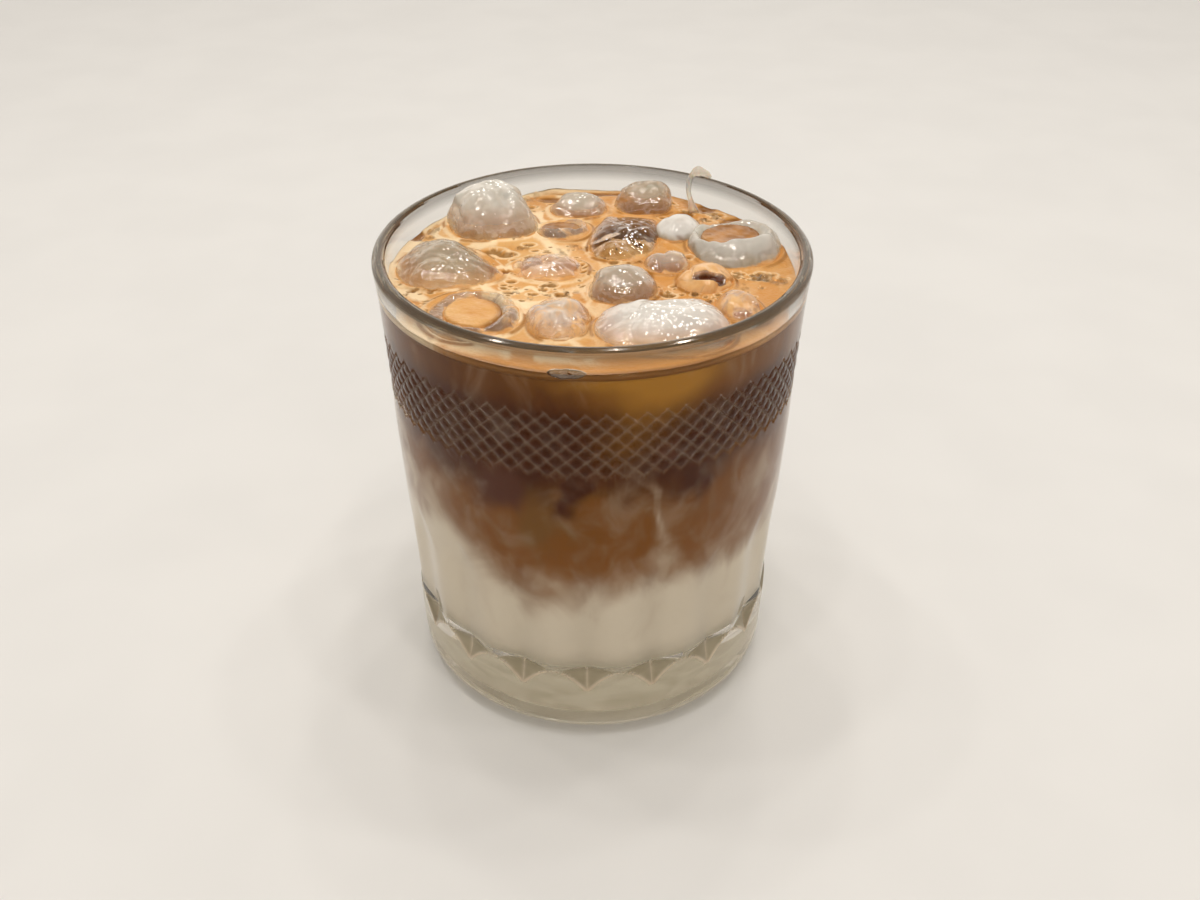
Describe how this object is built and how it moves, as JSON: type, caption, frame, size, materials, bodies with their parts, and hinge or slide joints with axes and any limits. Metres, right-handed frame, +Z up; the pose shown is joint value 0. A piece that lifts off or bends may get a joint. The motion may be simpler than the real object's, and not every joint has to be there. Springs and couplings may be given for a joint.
{
  "type": "iced coffee in a glass tumbler",
  "caption": "Iced coffee in a pressed glass tumbler with a diamond band and lens cuts: milk below, coffee above, tan crema and melting ice on top.",
  "frame": {"origin": "middle of the foot, on the surface the tumbler stands on", "axes": "+Z up along the tumbler's axis, -Y towards the viewer of the picture, +X to the right"},
  "size_m": [0.085, 0.085, 0.0981],
  "materials": {
    "glass": "clear polished pressed glass",
    "milk": "smooth opaque liquid",
    "coffee": "dark liquid with milk wisps",
    "crema": "fine wet foam",
    "ice": "wet melting ice, cloudy",
    "cream": "wet translucent cream"
  },
  "bodies": {
    "root": {"glass": "glass", "milk": "milk", "coffee": "coffee", "crema": "crema", "ice_back_left": "ice", "ice_left_disc": "ice", "ice_left_ring": "ice", "ice_right_ring": "ice", "ice_front_egg": "ice", "ice_centre_dome": "ice", "ice_front_left": "ice", "ice_clear_chunk": "ice", "ice_small_oval": "ice", "ice_clear_small": "ice", "ice_back_lump": "ice", "ice_back_flat": "ice", "ice_clear_flat": "ice", "ice_slit_dome": "ice", "ice_right_lump": "ice", "ice_back_hollow": "ice", "rim_dribble": "cream"}
  },
  "joints": []
}
